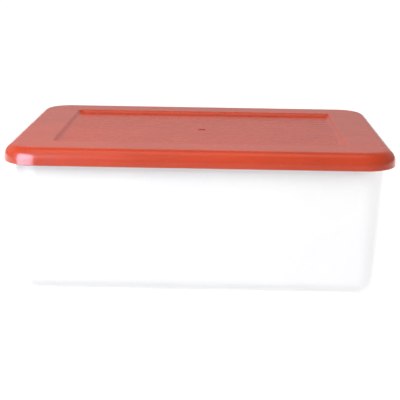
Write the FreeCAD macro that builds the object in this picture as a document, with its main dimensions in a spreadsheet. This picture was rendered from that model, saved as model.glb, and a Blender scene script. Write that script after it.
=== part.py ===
import FreeCAD, Part
import math
import os

import Sketcher

# A shut food storage container: a moulded tub with drafted walls and a rolled rim, and the press-on
# lid that closes it. Millimetres and degrees. +Z is up, +X runs along the long side, and the origin
# is at the middle of the tub's base, on the surface that it stands on.
SIZES = (
    ("rim_length", 295.6, "outside of the rolled rim along X"),
    ("rim_width", 224.4, "outside of the rolled rim along Y"),
    ("rim_corner", 24.4, "corner radius of the rolled rim"),
    ("tub_height", 113.0, "base to the top of the rim"),
    ("tub_wall", 1.8, "thickness of the tub's wall and of its rim"),
    ("tub_draft", 3.0, "draft of the tub's walls"),
    ("heel_radius", 12.0, "radius where the walls turn into the base"),
    ("rim_reach", 5.4, "rim beyond the wall"),
    ("foot_width", 9.0, "flat ring that the tub stands on"),
    ("foot_corner", 9.0, "corner radius of the hollow inside the foot ring"),
    ("foot_depth", 1.4, "depth of the hollow inside the foot ring"),
    ("foot_slope", 30.0, "angle of that hollow's sides from upright"),
    ("lid_height", 12.8, "skirt's lower edge to the top of the lid"),
    ("lid_wall", 1.8, "thickness of the lid"),
    ("hem_chamfer", 0.5, "chamfer along the outside of the skirt's lower edge"),
    ("edge_radius", 9.0, "radius where the lid's top turns into the skirt"),
    ("snap_clearance", 0.4, "gap between the skirt and the rim"),
    ("bead_reach", 1.0, "snap bead beyond the inside of the skirt"),
    ("bead_height", 1.6, "height of the snap bead"),
    ("bead_lift", 1.2, "skirt's lower edge to the snap bead"),
    ("bead_chamfer", 0.5, "chamfers along the snap bead's edges"),
    ("bead_clearance", 0.2, "gap between the snap bead and the lip above it"),
    ("plug_wall", 1.2, "thickness of the sealing rib that enters the tub's mouth"),
    ("plug_clearance", 0.25, "gap between the sealing rib and the tub's mouth"),
    ("panel_margin", 35.0, "outside of the lid to the edge of the sunk panel"),
    ("panel_depth", 2.8, "depth of the sunk panel below the lid's top"),
    ("panel_corner", 3.0, "corner radius of the sunk panel at its floor"),
    ("panel_slope", 50.0, "angle of the sunk panel's sides from upright"),
    ("panel_brow", 3.0, "radius where the lid's top turns down into the sunk panel"),
    ("panel_foot", 5.0, "radius where those sides run out into the panel"),
    ("panel_clearance", 0.2, "gap between the sunk panel and the closed tub below it"),
    ("least_land", 0.8, "least flat left beside a large radius"),
    ("gate_radius", 3.5, "round dish at the moulding gate"),
    ("gate_depth", 0.7, "depth of that dish"),
    ("gate_slope", 45.0, "angle of the dish's side from upright"),
    ("sprue_radius", 1.6, "stub left by the gate in its dish"),
    ("lid_sprue", 1.2, "height of the lid's stub"),
    ("base_sprue", 1.2, "height of the base's stub"),
)

# Half sizes, corner radii and places that follow from the sheet, as expressions.
RIM = ("sizes.rim_length / 2", "sizes.rim_width / 2", "sizes.rim_corner")
LID_REACH = "sizes.snap_clearance + sizes.lid_wall"
LID = tuple(f"{size} + {LID_REACH}" for size in RIM)
LID_LIFT = "sizes.tub_height + sizes.lid_wall - sizes.lid_height"
BEAD_TOP = "sizes.bead_lift + sizes.bead_height"
BEAD_INSET = "sizes.lid_wall + sizes.bead_reach"
LIP_DROP = f"sizes.lid_height - sizes.lid_wall - ({BEAD_TOP}) - sizes.bead_clearance"
EDGE = f"min(sizes.edge_radius; {LIP_DROP} + sizes.lid_wall - sizes.least_land)"
ROLL = f"{EDGE} - sizes.lid_wall"
MOUTH_INSET = "sizes.rim_reach + sizes.tub_wall"
PLUG_INSET = f"{MOUTH_INSET} + sizes.plug_clearance"
PANEL_CORNER = "sizes.panel_corner + sizes.panel_depth * tan(sizes.panel_slope * 1deg)"
TRAY_REACH = "sizes.lid_wall / cos(sizes.panel_slope * 1deg)"
BODY_HEIGHT = "sizes.tub_height - sizes.tub_wall"
BASE_INSET = f"sizes.rim_reach + ({BODY_HEIGHT}) * tan(sizes.tub_draft * 1deg)"
HEEL = f"min(sizes.heel_radius; sizes.rim_corner - ({BASE_INSET}) - sizes.least_land)"
FOOT_INSET = f"{BASE_INSET} + {HEEL} + sizes.foot_width"


def make_sheet(doc):
    """The spreadsheet of driving dimensions, one named cell each."""
    sheet = doc.addObject("Spreadsheet::Sheet", "sizes")
    for row, (name, value, note) in enumerate(SIZES, start=1):
        sheet.set(f"A{row}", name)
        sheet.set(f"B{row}", str(value))
        sheet.setAlias(f"B{row}", name)
        sheet.set(f"C{row}", note)
    doc.recompute()
    return sheet


def make_body(doc, name):
    body = doc.addObject("PartDesign::Body", name)
    body.Label = name
    return body


def make_sketch(body, name, height):
    """A level sketch at an expression's height above its body's own XY plane."""
    sketch = body.newObject("Sketcher::SketchObject", name)
    plane = next(p for p in body.Origin.OriginFeatures if p.Role == "XY_Plane")
    sketch.AttachmentSupport = [(plane, "")]
    sketch.MapMode = "FlatFace"
    sketch.setExpression("AttachmentOffset.Base.z", height)
    return sketch


def number(thing, expression):
    """The value that an expression has now, in millimetres."""
    value = thing.evalExpression(expression)
    return float(getattr(value, "Value", value))


def half_size(thing, outline):
    """An outline's half length and half width as they are now."""
    return tuple(number(thing, size) for size in outline[:2])


def inset(outline, distance):
    """The expressions of an outline moved inwards by an expression, its corners too."""
    return tuple(f"{size} - ({distance})" for size in outline)


def add_outline(sketch, outline):
    """Draws a rounded rectangle about the sketch's origin, held by the outline's expressions."""
    x, y, corner = (number(sketch, size) for size in outline)
    flat_x, flat_y = x - corner, y - corner
    sides = (
        ((-flat_x, -y), (flat_x, -y)),
        ((x, -flat_y), (x, flat_y)),
        ((flat_x, y), (-flat_x, y)),
        ((-x, flat_y), (-x, -flat_y)),
    )
    centres = ((flat_x, -flat_y), (flat_x, flat_y), (-flat_x, flat_y), (-flat_x, -flat_y))
    quarter = math.pi / 2
    lines, arcs = [], []
    for k, ((start, end), centre) in enumerate(zip(sides, centres)):
        lines.append(sketch.addGeometry(
            Part.LineSegment(FreeCAD.Vector(*start, 0), FreeCAD.Vector(*end, 0))))
        circle = Part.Circle(FreeCAD.Vector(*centre, 0), FreeCAD.Vector(0, 0, 1), corner)
        arcs.append(sketch.addGeometry(
            Part.ArcOfCircle(circle, (k - 1) * quarter, k * quarter)))
    for k in range(4):
        following = lines[(k + 1) % 4]
        sketch.addConstraint(Sketcher.Constraint("Tangent", lines[k], 2, arcs[k], 1))
        sketch.addConstraint(Sketcher.Constraint("Tangent", arcs[k], 2, following, 1))
        sketch.addConstraint(Sketcher.Constraint(("Horizontal", "Vertical")[k % 2], lines[k]))
        if k:
            sketch.addConstraint(Sketcher.Constraint("Equal", arcs[0], arcs[k]))
    sketch.addConstraint(Sketcher.Constraint("Symmetric", arcs[0], 3, arcs[2], 3, -1, 1))
    held = (
        Sketcher.Constraint("DistanceX", -1, 1, lines[1], 1, x),
        Sketcher.Constraint("DistanceY", -1, 1, lines[2], 1, y),
        Sketcher.Constraint("Radius", arcs[0], corner),
    )
    for constraint, size in zip(held, outline):
        sketch.setExpression(f"Constraints[{sketch.addConstraint(constraint)}]", size)


def add_circle(sketch, radius):
    """A circle about the sketch's origin, held by an expression."""
    value = number(sketch, radius)
    circle = Part.Circle(FreeCAD.Vector(), FreeCAD.Vector(0, 0, 1), value)
    ring = sketch.addGeometry(circle)
    sketch.addConstraint(Sketcher.Constraint("Coincident", ring, 3, -1, 1))
    held = sketch.addConstraint(Sketcher.Constraint("Radius", ring, value))
    sketch.setExpression(f"Constraints[{held}]", radius)


def checked(feature):
    """Recomputes a feature and stops if it failed or left the solid as it was."""
    before = feature.BaseFeature.Shape.Volume if feature.BaseFeature else 0.0
    feature.Document.recompute()
    shape = feature.Shape
    if not feature.isValid() or shape.isNull() or not shape.isValid():
        raise RuntimeError(f"{feature.Name} failed: {feature.State}")
    if abs(shape.Volume - before) < 1e-3:
        raise RuntimeError(f"{feature.Name} changed nothing")
    return feature


def extrude(body, kind, name, sketch, length, down=False, draft=None):
    """A Pad or a Pocket of a sketch. A draft narrows a pad, or a pocket, along its way."""
    feature = body.newObject(f"PartDesign::{kind}", name)
    feature.Profile = sketch
    feature.setExpression("Length", length)
    feature.Reversed = down if kind == "Pad" else not down
    if draft:
        feature.setExpression("TaperAngle", f"-{draft}")
    return checked(feature)


def dress_edges(body, kind, name, size, height, beyond=(0, 0), within=(math.inf, math.inf)):
    """A Fillet or Chamfer on the level edges at a height that reach beyond one half size, and
    stay within another, of the body's last solid."""
    base = body.Tip
    edges = []
    for k, edge in enumerate(base.Shape.Edges, start=1):
        box = edge.BoundBox
        reach = (max(-box.XMin, box.XMax), max(-box.YMin, box.YMax))
        level = max(abs(box.ZMin - height), abs(box.ZMax - height)) < 0.01
        outside = reach[0] > beyond[0] or reach[1] > beyond[1]
        if level and outside and reach[0] < within[0] and reach[1] < within[1]:
            edges.append(f"Edge{k}")
    if not edges:
        raise RuntimeError(f"{name} found no edge")
    feature = body.newObject(f"PartDesign::{kind}", name)
    feature.Base = (base, edges)
    feature.setExpression("Radius" if kind == "Fillet" else "Size", size)
    return checked(feature)


def hollow_out(body, name, wall):
    """Turns the body's solid into a shell with an even wall that is open at its lowest face."""
    base = body.Tip
    faces = base.Shape.Faces
    lowest = min(range(len(faces)), key=lambda k: faces[k].BoundBox.ZMax)
    shell = body.newObject("PartDesign::Thickness", name)
    shell.Base = (base, [f"Face{lowest + 1}"])
    shell.setExpression("Value", wall)
    shell.Reversed = True
    return checked(shell)


def add_gate(body, name, height, stub, down):
    """A round dish sunk at the moulding gate, with the stub that the gate left in it."""
    dish_outline = make_sketch(body, f"{name}_dish_outline", height)
    add_circle(dish_outline, "sizes.gate_radius")
    extrude(body, "Pocket", f"{name}_dish", dish_outline, "sizes.gate_depth", down=not down,
            draft="sizes.gate_slope")
    floor = f"{height} {'+' if down else '-'} sizes.gate_depth"
    stub_outline = make_sketch(body, f"{name}_stub_outline", floor)
    add_circle(stub_outline, "sizes.sprue_radius")
    extrude(body, "Pad", f"{name}_stub", stub_outline, stub, down=down)


def make_tub(doc, sheet):
    """The tub: its rolled rim first, then the drafted body, its mouth and its base."""
    tub = make_body(doc, "tub")

    # The rim is a shallow tray upside down, rounded over, so that its lip has an even wall.
    rim_outline = make_sketch(tub, "rim_outline", "sizes.tub_height")
    add_outline(rim_outline, RIM)
    extrude(tub, "Pad", "rim", rim_outline, LIP_DROP, down=True)
    dress_edges(tub, "Fillet", "rim_roll", ROLL, sheet.tub_height)
    hollow_out(tub, "rim_lip", "sizes.tub_wall")

    # The body narrows downwards from the rim's underside. A shut tub is solid below the lid.
    wall_outline = make_sketch(tub, "wall_outline", BODY_HEIGHT)
    add_outline(wall_outline, inset(RIM, "sizes.rim_reach"))
    extrude(tub, "Pad", "drafted_body", wall_outline, BODY_HEIGHT, down=True,
            draft="sizes.tub_draft")
    dress_edges(tub, "Fillet", "heel", HEEL, 0)
    mouth_outline = make_sketch(tub, "mouth_outline", "sizes.tub_height")
    add_outline(mouth_outline, inset(RIM, MOUTH_INSET))
    extrude(tub, "Pocket", "mouth", mouth_outline, "sizes.panel_depth + sizes.panel_clearance",
            down=True, draft="sizes.tub_draft")

    # The base is hollowed a little, which leaves a flat foot ring round its gate.
    foot_outline = make_sketch(tub, "foot_outline", "0")
    add_outline(foot_outline, inset(RIM, FOOT_INSET)[:2] + ("sizes.foot_corner",))
    extrude(tub, "Pocket", "foot_hollow", foot_outline, "sizes.foot_depth",
            draft="sizes.foot_slope")
    add_gate(tub, "base_gate", "sizes.foot_depth", "sizes.base_sprue", down=True)
    return tub


def make_lid(doc, sheet):
    """The lid, made in its own frame with the skirt's lower edge at zero, and set on the rim."""
    lid = make_body(doc, "lid")
    lid.setExpression("Placement.Base.z", LID_LIFT)

    # The cap is a shallow tray upside down with a large rounded edge and an even wall.
    cap_outline = make_sketch(lid, "cap_outline", "0")
    add_outline(cap_outline, LID)
    extrude(lid, "Pad", "cap", cap_outline, "sizes.lid_height")
    dress_edges(lid, "Fillet", "cap_edge", EDGE, sheet.lid_height)
    hollow_out(lid, "cap_shell", "sizes.lid_wall")
    inside = half_size(lid, inset(LID, "sizes.lid_wall / 2"))
    dress_edges(lid, "Chamfer", "hem", "sizes.hem_chamfer", 0, beyond=inside)

    # The sunk panel is a tray let into the cap, with sloping sides as thick as the rest.
    panel = inset(LID, "sizes.panel_margin")[:2] + (PANEL_CORNER,)
    tray_outline = make_sketch(lid, "panel_tray_outline", "sizes.lid_height")
    add_outline(tray_outline, inset(panel, f"-{TRAY_REACH}"))
    extrude(lid, "Pad", "panel_tray", tray_outline, "sizes.panel_depth + sizes.lid_wall",
            down=True, draft="sizes.panel_slope")
    panel_outline = make_sketch(lid, "panel_outline", "sizes.lid_height")
    add_outline(panel_outline, panel)
    extrude(lid, "Pocket", "panel_hollow", panel_outline, "sizes.panel_depth", down=True,
            draft="sizes.panel_slope")
    opening = half_size(lid, inset(panel, "-sizes.lid_wall"))
    panel_floor = sheet.lid_height - sheet.panel_depth
    dress_edges(lid, "Fillet", "panel_foot", "sizes.panel_foot", panel_floor, within=opening)
    dress_edges(lid, "Fillet", "panel_brow", "sizes.panel_brow", sheet.lid_height,
                within=opening)
    add_gate(lid, "lid_gate", "sizes.lid_height - sizes.panel_depth", "sizes.lid_sprue",
             down=False)

    # The sealing rib stands just inside the tub's mouth and follows its draft.
    plug_outline = make_sketch(lid, "plug_outline", "sizes.lid_height - sizes.lid_wall")
    add_outline(plug_outline, inset(RIM, PLUG_INSET))
    add_outline(plug_outline, inset(RIM, f"{PLUG_INSET} + sizes.plug_wall"))
    extrude(lid, "Pad", "plug", plug_outline, "sizes.panel_depth", down=True,
            draft="sizes.tub_draft")

    # The snap bead runs round the inside of the skirt and catches under the rim's lip.
    bead_outline = make_sketch(lid, "bead_outline", BEAD_TOP)
    add_outline(bead_outline, inset(LID, "sizes.lid_wall / 2"))
    add_outline(bead_outline, inset(LID, BEAD_INSET))
    extrude(lid, "Pad", "snap_bead", bead_outline, "sizes.bead_height", down=True)
    bead_top = number(lid, BEAD_TOP)
    crest = half_size(lid, inset(LID, f"{BEAD_INSET} - sizes.bead_chamfer"))
    dress_edges(lid, "Chamfer", "bead_catch", "sizes.bead_chamfer", bead_top, within=crest)
    dress_edges(lid, "Chamfer", "bead_lead_in", "sizes.bead_chamfer",
                bead_top - sheet.bead_height, within=crest)
    return lid


def export(doc, bodies):
    """Stops on any failed object, then writes each piece to its own STEP file."""
    for thing in doc.Objects:
        if {"Invalid", "Error"} & set(thing.State):
            raise RuntimeError(f"{thing.Label} is {thing.State}")
    os.makedirs("parts", exist_ok=True)
    for body in bodies:
        shape = body.Shape
        if shape.isNull() or not shape.isValid() or len(shape.Solids) != 1:
            raise RuntimeError(f"{body.Label} is not one valid solid")
        shape.exportStep(f"parts/{body.Label}.step")
        box = shape.optimalBoundingBox(False)
        print(f"{body.Label}: {box.XLength:.2f} x {box.YLength:.2f} x {box.ZLength:.2f} mm, "
              f"z {box.ZMin:.2f} to {box.ZMax:.2f}, {shape.Volume / 1000:.1f} cm3")


def main():
    doc = FreeCAD.newDocument("food_container")
    sheet = make_sheet(doc)
    bodies = [make_tub(doc, sheet), make_lid(doc, sheet)]
    doc.recompute()
    export(doc, bodies)


main()
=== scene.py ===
import math

import bpy
from mathutils import Matrix, Vector


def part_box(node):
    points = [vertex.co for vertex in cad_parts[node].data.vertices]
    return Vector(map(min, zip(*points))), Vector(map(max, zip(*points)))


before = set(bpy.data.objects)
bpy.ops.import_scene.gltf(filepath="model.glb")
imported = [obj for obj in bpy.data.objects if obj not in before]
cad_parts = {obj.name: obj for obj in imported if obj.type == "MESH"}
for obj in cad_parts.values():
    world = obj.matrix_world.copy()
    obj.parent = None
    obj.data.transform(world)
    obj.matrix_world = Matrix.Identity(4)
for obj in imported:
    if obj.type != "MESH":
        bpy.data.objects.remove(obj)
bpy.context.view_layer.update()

# A shut food storage container: a white moulded tub under a red press-on lid with a sunk panel.
# Metres, in the frame's own axes: +X along the long side, the front faces -Y, and +Z is up.
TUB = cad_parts["tub"]
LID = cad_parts["lid"]
MM = 0.001

# The floor of the lid's sunk panel, from the lid's own box, and the width of the band along its
# edge in which the panel's grain fades out.
LID_HIGH = Vector(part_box("lid")[1])
PANEL_MARGIN = 38 * MM
PANEL_HALF = (LID_HIGH.x - PANEL_MARGIN, LID_HIGH.y - PANEL_MARGIN)
PANEL_FLOOR = LID_HIGH.z - 2.8 * MM
GRAIN_FADE = 4 * MM

# Colours, as linear values, and how brightly the table glows.
LID_RED = (0.50, 0.0488, 0.0145)
TUB_WHITE = (0.78, 0.78, 0.78)
TABLE_GREY = (0.12, 0.12, 0.12)
WHITE = (1, 1, 1)
TABLE_GLOW = 0.95

# The two plastics: heights of their relief in millimetres and how strongly it shows, the smoothest
# roughness and what each kind of wear adds to it, the refractive index, and how much light scatters
# inside, how deep and in which colours.
LID_GRAIN, LID_RIPPLE, LID_SKIN, LID_RELIEF = 0.30, 0.5, 0.012, 0.6
LID_SMOOTH, LID_PANEL_ROUGH, LID_SCUFF_ROUGH, LID_FLECK_ROUGH = 0.21, 0.03, 0.06, 0.05
LID_INDEX, LID_SCATTER, LID_SCATTER_DEPTH = 1.46, 0.12, 2 * MM
LID_SCATTER_SPREAD = (1.0, 0.25, 0.1)
TUB_SKIN, TUB_DRAW, TUB_RIPPLE, TUB_RELIEF = 0.03, 0.02, 0.6, 0.5
TUB_SMOOTH, TUB_FLECK_ROUGH = 0.34, 0.10
TUB_INDEX, TUB_SCATTER, TUB_SCATTER_DEPTH = 1.49, 0.25, 4 * MM
TUB_SCATTER_SPREAD = (1.0, 0.95, 0.9)
TABLE_ROUGH = 0.9

# The studio: how bright the surround is by the sine of its elevation, with the table's glow below
# the horizon and the ceiling at the top, how much it falls off to the right and rises behind, and
# the even light from overhead.
SURROUND = ((-0.03, 1.5), (0.0, 0.23), (0.10, 0.30), (0.20, 0.43), (0.42, 0.44), (0.62, 0.23),
            (0.85, 0.12), (0.93, 0.12), (0.985, 1.2))
SIDE_FALL = 0.2
BACK_RISE = 0.3
SKY_STRENGTH = 0.7
SKY_ANGLE = 120
# The softboxes: name, place, aim, size, watts, colour, and what each one does. It lights
# everything, it lights one node alone, or it only gleams in what is glossy.
SOFTBOXES = (
    ("key", (-0.31, -0.46, 0.45), (0, 0, 0.10), (0.35, 0.35), 2.2, WHITE, "lights"),
    ("overhead", (-0.38, -0.46, 1.0), (0, 0, 0.1), (0.6, 0.6), 5.6, WHITE, "lights"),
    ("fill", (0.2, 1.0, 0.35), (0, 0, 0.1), (0.8, 0.4), 2.5, WHITE, "lights"),
    ("side", (0.9, -0.55, 0.25), (0, 0, 0.06), (0.5, 0.4), 3.6, WHITE, "tub"),
    ("glint", (-0.71, -0.72, 0.30), (0, 0, 0.20), (0.80, 1.05), 50.0, (0.65, 0.73, 1), "gleams"),
)

# The camera: what it looks at, how far away it stands, its angles in degrees and its lens.
CAMERA_AIM = Vector((-0.0008, 0, 0.0506))
CAMERA_DISTANCE = 0.929
CAMERA_YAW, CAMERA_PITCH, CAMERA_ROLL = -1.08, 13.53, 0.81
CAMERA_LENS, CAMERA_SENSOR, CAMERA_REACH = 97.35, 36.0, 50.0

FLOOR_SIZE = 16.0
FLOOR_SET_BACK = 4.0


class Field:
    """A number that varies over a surface. Arithmetic on it adds the Math nodes that do it."""

    def __init__(self, nodes, socket):
        self.nodes = nodes
        self.socket = socket

    def math(self, operation, *values):
        return self.nodes.add("ShaderNodeMath", {"operation": operation}, dict(enumerate(values)))

    def __add__(self, other):
        return self.math("ADD", self, other)

    def __radd__(self, other):
        return self.math("ADD", other, self)

    def __mul__(self, other):
        return self.math("MULTIPLY", self, other)

    def __rmul__(self, other):
        return self.math("MULTIPLY", other, self)

    def __abs__(self):
        return self.math("ABSOLUTE", self)

    def step(self, start, end):
        """0 where this is at start, 1 where it is at end, and smooth between them."""
        return self.nodes.add(
            "ShaderNodeMapRange", {"interpolation_type": "SMOOTHSTEP"},
            {"Value": self, "From Min": start, "From Max": end})


class Nodes:
    """A node tree, in which one method adds every node."""

    def __init__(self, tree):
        self.tree = tree

    def add(self, kind, settings, sockets, output=0):
        """Adds a node with its settings, fills its sockets and returns one of its outputs."""
        made = self.tree.nodes.new(kind)
        for name, value in settings.items():
            setattr(made, name, value)
        for key, value in sockets.items():
            self.fill(made.inputs[key], value)
        return Field(self, made.outputs[output])

    def fill(self, socket, value):
        """Links a field to a socket, or gives the socket a value."""
        if isinstance(value, Field):
            self.tree.links.new(value.socket, socket)
        else:
            socket.default_value = value

    def ramp(self, position, stops):
        """A grey that follows stops, each a position from 0 to 1 and a level."""
        shade = self.add("ShaderNodeValToRGB", {}, {0: position})
        made = shade.socket.node.color_ramp.elements
        for place, level in stops[2:]:
            made.new(place)
        for stop, (place, level) in zip(made, stops):
            stop.position = place
            stop.color = tint((level, level, level))
        return shade


class Finish(Nodes):
    """A material for one finish of the container, built from nodes round a Principled shader."""

    def __init__(self, name):
        self.material = bpy.data.materials.new(name)
        self.material.use_nodes = True
        super().__init__(self.material.node_tree)
        self.shader = self.tree.nodes["Principled BSDF"]
        self.place = self.add("ShaderNodeTexCoord", {}, {}, output="Object")

    def set(self, **sockets):
        """Fills sockets of the Principled shader, named with underscores for spaces."""
        for name, value in sockets.items():
            self.fill(self.shader.inputs[name.replace("_", " ")], value)

    def axes(self):
        """The surface point's own X, Y and Z."""
        return [self.add("ShaderNodeSeparateXYZ", {}, {0: self.place}, output=k) for k in range(3)]

    def scaled(self, factors):
        """The surface point with its axes scaled, to stretch a pattern."""
        return self.add("ShaderNodeVectorMath", {"operation": "MULTIPLY"},
                        {0: self.place, 1: factors})

    def noise(self, size, detail=2.0, roughness=0.5, stretch=(1, 1, 1)):
        """Noise from 0 to 1 with features of about a size in metres."""
        return self.add("ShaderNodeTexNoise", {}, {
            "Vector": self.scaled(stretch), "Scale": 1 / size, "Detail": detail,
            "Roughness": roughness})

    def mixed(self, factor, low, high):
        """A colour between two others, by a factor."""
        return self.add("ShaderNodeMix", {"data_type": "RGBA"}, {0: factor, 6: low, 7: high},
                        output=2)

    def relief(self, height, strength):
        """A normal from a height field in millimetres."""
        return self.add("ShaderNodeBump", {}, {
            "Height": height, "Distance": MM, "Strength": strength})


def tint(colour, factor=1.0):
    """A colour times a factor, with full alpha."""
    return (*(channel * factor for channel in colour), 1.0)


def paint(thing, finish):
    """Gives a piece its finish in every one of its material slots."""
    for slot in thing.material_slots:
        slot.material = finish.material
    if not thing.material_slots:
        thing.data.materials.append(finish.material)


def lid_finish():
    """Red moulded plastic: smooth and semi-gloss outside, finely grained on the sunk panel."""
    finish = Finish("lid_plastic")
    x, y, z = finish.axes()
    panel = (abs(x).step(PANEL_HALF[0], PANEL_HALF[0] - GRAIN_FADE)
             * abs(y).step(PANEL_HALF[1], PANEL_HALF[1] - GRAIN_FADE)
             * z.step(PANEL_FLOOR + 1.2 * MM, PANEL_FLOOR + 0.2 * MM))

    # Pigment that flowed unevenly from the gate, and dust-fine wear.
    flow = finish.noise(38 * MM, detail=3.0, stretch=(0.6, 1.0, 1.0))
    fleck = finish.noise(1.6 * MM, detail=3.0, roughness=0.6)
    shade = (flow * 0.7 + fleck * 0.3).step(0.25, 0.75)
    colour = finish.mixed(shade, tint(LID_RED, 0.90), tint(LID_RED, 1.06))

    # The panel's spark-eroded grain, and the shallow waviness of thin moulded plastic elsewhere.
    grain = finish.noise(2.4 * MM, detail=4.0, roughness=0.6, stretch=(0.5, 1.0, 1.0))
    ripple = finish.noise(24 * MM, detail=1.0)
    skin = finish.noise(0.9 * MM, detail=2.0)
    height = panel * grain * LID_GRAIN + ripple * LID_RIPPLE + skin * LID_SKIN

    scuffs = finish.noise(3.0 * MM, detail=4.0, roughness=0.7, stretch=(0.12, 1.0, 1.0))
    roughness = (LID_SMOOTH + panel * LID_PANEL_ROUGH
                 + scuffs.step(0.5, 0.8) * LID_SCUFF_ROUGH + fleck * LID_FLECK_ROUGH)
    finish.set(Base_Color=colour, Roughness=roughness, IOR=LID_INDEX,
               Normal=finish.relief(height, LID_RELIEF), Subsurface_Weight=LID_SCATTER,
               Subsurface_Scale=LID_SCATTER_DEPTH, Subsurface_Radius=LID_SCATTER_SPREAD)
    return finish


def tub_finish():
    """White moulded plastic, satin, a little cloudy and waxy, with a fine drawn skin."""
    finish = Finish("tub_plastic")
    cloud = finish.noise(45 * MM, detail=2.0)
    fleck = finish.noise(2.0 * MM, detail=3.0, roughness=0.6)
    colour = finish.mixed((cloud * 0.7 + fleck * 0.3).step(0.3, 0.7),
                          tint(TUB_WHITE, 0.975), tint(TUB_WHITE))
    skin = finish.noise(1.1 * MM, detail=3.0, roughness=0.6)
    draw = finish.noise(6.0 * MM, detail=3.0, stretch=(1.0, 1.0, 0.06))
    ripple = finish.noise(40 * MM, detail=1.0)
    height = skin * TUB_SKIN + draw * TUB_DRAW + ripple * TUB_RIPPLE
    finish.set(Base_Color=colour, Roughness=TUB_SMOOTH + fleck * TUB_FLECK_ROUGH, IOR=TUB_INDEX,
               Normal=finish.relief(height, TUB_RELIEF), Subsurface_Weight=TUB_SCATTER,
               Subsurface_Scale=TUB_SCATTER_DEPTH, Subsurface_Radius=TUB_SCATTER_SPREAD)
    return finish


def table_finish():
    """Milky glass lit from below, faintly uneven, so that it is white out to the horizon."""
    finish = Finish("light_table")
    cloud = finish.noise(4 * MM, detail=3.0)
    finish.set(Base_Color=finish.mixed(cloud, tint(TABLE_GREY, 0.9), tint(TABLE_GREY)),
               Roughness=TABLE_ROUGH, Emission_Color=tint(WHITE), Emission_Strength=TABLE_GLOW)
    return finish


def add_floor():
    """The table. Glossy surfaces mirror the surround's glow in its place."""
    bpy.ops.object.select_all(action="DESELECT")
    bpy.ops.mesh.primitive_plane_add(size=FLOOR_SIZE, location=(0, FLOOR_SET_BACK, 0))
    floor = bpy.context.object
    floor.name = "floor"
    bpy.ops.object.transform_apply(location=True)
    floor.visible_glossy = False
    paint(floor, table_finish())


def add_lamp(name, light, lighting, mirrored):
    """A lamp that is never seen itself, and lights dull surfaces or shows in glossy ones."""
    lamp = bpy.data.objects.new(name, light)
    lamp.visible_camera = False
    lamp.visible_diffuse = lighting
    lamp.visible_glossy = mirrored
    bpy.context.collection.objects.link(lamp)
    return lamp


def add_softbox(name, place, aim, size, power, colour, use):
    """A rectangular area light at a place, turned to face an aim."""
    light = bpy.data.lights.new(name, "AREA")
    light.shape = "RECTANGLE"
    light.size, light.size_y = size
    light.energy = power
    light.color = colour
    lamp = add_lamp(name, light, lighting=use != "gleams", mirrored=use == "gleams")
    lamp.location = place
    lamp.rotation_euler = (Vector(aim) - Vector(place)).to_track_quat("-Z", "Y").to_euler()
    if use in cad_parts:
        lit = bpy.data.collections.new(name + "_lights")
        lit.objects.link(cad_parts[use])
        lamp.light_linking.receiver_collection = lit


def add_sky():
    """Even light from overhead that casts only a soft shadow. A sun shines straight down."""
    light = bpy.data.lights.new("sky", "SUN")
    light.energy = SKY_STRENGTH
    light.angle = math.radians(SKY_ANGLE)
    add_lamp("sky", light, lighting=True, mirrored=False)


def add_surround():
    """The studio's walls and ceiling, as glossy surfaces mirror them. The camera sees plain white
    in their place."""
    world = bpy.data.worlds.new("studio")
    world.use_nodes = True
    nodes = Nodes(world.node_tree)
    direction = nodes.add("ShaderNodeTexCoord", {}, {}, output="Generated")
    sine = nodes.add("ShaderNodeSeparateXYZ", {}, {0: direction}, output=2)
    shade = nodes.ramp(sine * 0.5 + 0.5, [((low + 1) / 2, level) for low, level in SURROUND])
    lean = nodes.add("ShaderNodeVectorMath", {"operation": "DOT_PRODUCT"},
                     {0: direction, 1: (-SIDE_FALL, BACK_RISE, 0)}, output="Value")
    walls = nodes.add("ShaderNodeBackground", {}, {"Color": shade, "Strength": lean + 1.0})
    backdrop = nodes.add("ShaderNodeBackground", {}, {"Color": tint(WHITE)})
    seen = nodes.add("ShaderNodeLightPath", {}, {}, output="Is Camera Ray")
    shown = nodes.add("ShaderNodeMixShader", {}, {0: seen, 1: walls, 2: backdrop})
    nodes.fill(world.node_tree.nodes["World Output"].inputs["Surface"], shown)
    bpy.context.scene.world = world


def light_studio():
    """A surround that is brightest a little above the horizon and dim overhead, a faint even sky
    and the softboxes."""
    add_surround()
    add_sky()
    for softbox in SOFTBOXES:
        add_softbox(*softbox)


def add_camera():
    """The camera, which looks down on the front from a little to the left."""
    yaw, pitch, roll = (math.radians(angle) for angle in (CAMERA_YAW, CAMERA_PITCH, CAMERA_ROLL))
    turn = (Matrix.Rotation(-yaw, 4, "Z") @ Matrix.Rotation(math.pi / 2 - pitch, 4, "X")
            @ Matrix.Rotation(roll, 4, "Z"))
    data = bpy.data.cameras.new("camera")
    data.sensor_width = CAMERA_SENSOR
    data.lens = CAMERA_LENS
    data.clip_end = CAMERA_REACH
    camera = bpy.data.objects.new("camera", data)
    place = CAMERA_AIM + CAMERA_DISTANCE * (turn @ Vector((0, 0, 1)))
    camera.matrix_world = Matrix.Translation(place) @ turn
    bpy.context.collection.objects.link(camera)
    bpy.context.scene.camera = camera


paint(TUB, tub_finish())
paint(LID, lid_finish())
add_floor()
light_studio()
add_camera()
bpy.context.scene.view_settings.view_transform = "Standard"
